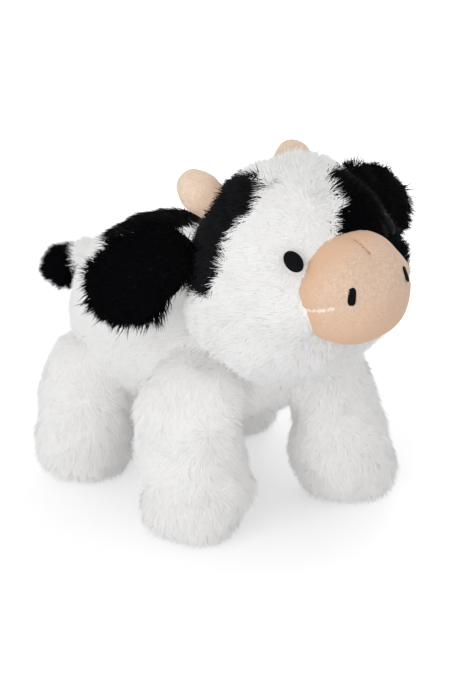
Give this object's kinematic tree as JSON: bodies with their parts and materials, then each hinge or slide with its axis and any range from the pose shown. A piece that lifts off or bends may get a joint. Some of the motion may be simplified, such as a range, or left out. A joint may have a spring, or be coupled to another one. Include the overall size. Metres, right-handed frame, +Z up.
{
  "type": "plush cow",
  "caption": "Stuffed plush cow standing on stubby legs, with long white pile, black patches, a velour muzzle, soft horns, floppy ears and a tufted tail.",
  "frame": {"origin": "on the floor, under the middle of the whole toy", "axes": "+Z up, the face looks to -Y, the tail is to +Y, and the cow's left side is +X"},
  "size_m": [0.2582, 0.3462, 0.2572],
  "materials": {
    "white_plush": "long soft white pile, matt, greyer down in the pile",
    "black_plush": "long soft black pile, matt, with a faint grey sheen on its tips",
    "beige_velour": "short close velour in pale beige",
    "horn_velour": "short close velour in pale beige, a little greyer than the muzzle",
    "black_thread": "black satin-stitch embroidery, slightly glossy",
    "fibre_fill": "white polyester fibre filling"
  },
  "bodies": {
    "torso": {"torso_cover": "white_plush", "back_patch": "black_plush", "torso_stuffing": "fibre_fill"},
    "neck": {"neck_stuffing": "fibre_fill"},
    "head": {"head_cover": "white_plush", "head_patch_right": "black_plush", "eye_patch_left": "black_plush", "head_stuffing": "fibre_fill", "muzzle_cover": "beige_velour", "eye_right": "black_thread", "eye_left": "black_thread", "nostril_right": "black_thread", "nostril_left": "black_thread", "horn_right": "horn_velour", "horn_left": "horn_velour"},
    "ear_right": {"ear_right_front": "black_plush", "ear_right_back": "black_plush"},
    "ear_left": {"ear_left_front": "black_plush", "ear_left_back": "black_plush"},
    "leg_front_right": {"leg_front_right_cover": "white_plush", "leg_front_right_stuffing": "fibre_fill"},
    "leg_front_left": {"leg_front_left_cover": "white_plush", "leg_front_left_stuffing": "fibre_fill"},
    "leg_rear_right": {"leg_rear_right_cover": "white_plush", "leg_rear_right_stuffing": "fibre_fill"},
    "leg_rear_left": {"leg_rear_left_cover": "white_plush", "leg_rear_left_stuffing": "fibre_fill"},
    "tail": {"tail_sleeve": "white_plush"},
    "tuft": {"tail_tuft": "black_plush"}
  },
  "joints": [
    {"name": "neck_turn", "type": "hinge", "parent": "torso", "child": "neck", "pos_m": [-0.00602, -0.04119, 0.15], "axis": [0, 0, 1], "range_deg": [-14, 14], "stiffness_Nm_per_rad": 2},
    {"name": "neck_nod", "type": "hinge", "parent": "neck", "child": "head", "pos_m": [-0.00602, -0.04119, 0.15], "axis": [1, 0, 0], "range_deg": [-7, 7], "stiffness_Nm_per_rad": 2},
    {"name": "ear_right_flap", "type": "hinge", "parent": "head", "child": "ear_right", "pos_m": [-0.06674, -0.06443, 0.20411], "axis": [-0.0773, 0.5903, 0.8035], "range_deg": [-22, 22], "stiffness_Nm_per_rad": 0.05},
    {"name": "ear_left_flap", "type": "hinge", "parent": "head", "child": "ear_left", "pos_m": [0.04567, -0.05854, 0.21794], "axis": [-0.1236, -0.5472, -0.8278], "range_deg": [-22, 22], "stiffness_Nm_per_rad": 0.05},
    {"name": "leg_front_right_swing", "type": "hinge", "parent": "torso", "child": "leg_front_right", "pos_m": [-0.04402, -0.04019, 0.094], "axis": [1, 0, 0], "range_deg": [-12, 12], "stiffness_Nm_per_rad": 1.2},
    {"name": "leg_front_left_swing", "type": "hinge", "parent": "torso", "child": "leg_front_left", "pos_m": [0.03198, -0.04019, 0.094], "axis": [1, 0, 0], "range_deg": [-12, 12], "stiffness_Nm_per_rad": 1.2},
    {"name": "leg_rear_right_swing", "type": "hinge", "parent": "torso", "child": "leg_rear_right", "pos_m": [-0.05202, 0.07981, 0.076], "axis": [1, 0, 0], "range_deg": [-12, 12], "stiffness_Nm_per_rad": 1.2},
    {"name": "leg_rear_left_swing", "type": "hinge", "parent": "torso", "child": "leg_rear_left", "pos_m": [0.03998, 0.07981, 0.076], "axis": [1, 0, 0], "range_deg": [-12, 12], "stiffness_Nm_per_rad": 1.2},
    {"name": "tail_lift", "type": "hinge", "parent": "torso", "child": "tail", "pos_m": [-0.02019, 0.14062, 0.13612], "axis": [0.7071, 0.7071, 0], "range_deg": [-15, 15], "stiffness_Nm_per_rad": 0.02},
    {"name": "tuft_wag", "type": "hinge", "parent": "tail", "child": "tuft", "pos_m": [-0.03414, 0.15458, 0.12894], "axis": [0, 0, 1], "range_deg": [-15, 15], "stiffness_Nm_per_rad": 0.01}
  ]
}
